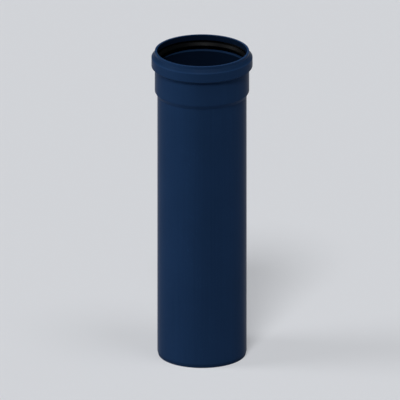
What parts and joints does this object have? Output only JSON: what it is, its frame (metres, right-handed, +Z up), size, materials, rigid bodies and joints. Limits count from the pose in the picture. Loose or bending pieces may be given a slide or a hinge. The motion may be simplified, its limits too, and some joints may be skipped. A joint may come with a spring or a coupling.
{
  "type": "polypropylene sewer pipe",
  "caption": "Straight plastic drain pipe with a plain chamfered spigot end and a push-fit socket, its bead holding a rubber lip seal.",
  "frame": {"origin": "centre of the spigot's end face, on the floor that the pipe stands on", "axes": "+Z up along the pipe's axis, from the spigot end to the socket; the pipe is the same all round, so +X and +Y are free"},
  "size_m": [0.1247, 0.1246, 0.397],
  "materials": {
    "polypropylene": "satin",
    "seal_rubber": "matte"
  },
  "bodies": {
    "root": {"pipe": "polypropylene", "seal_ring": "seal_rubber"}
  },
  "joints": []
}
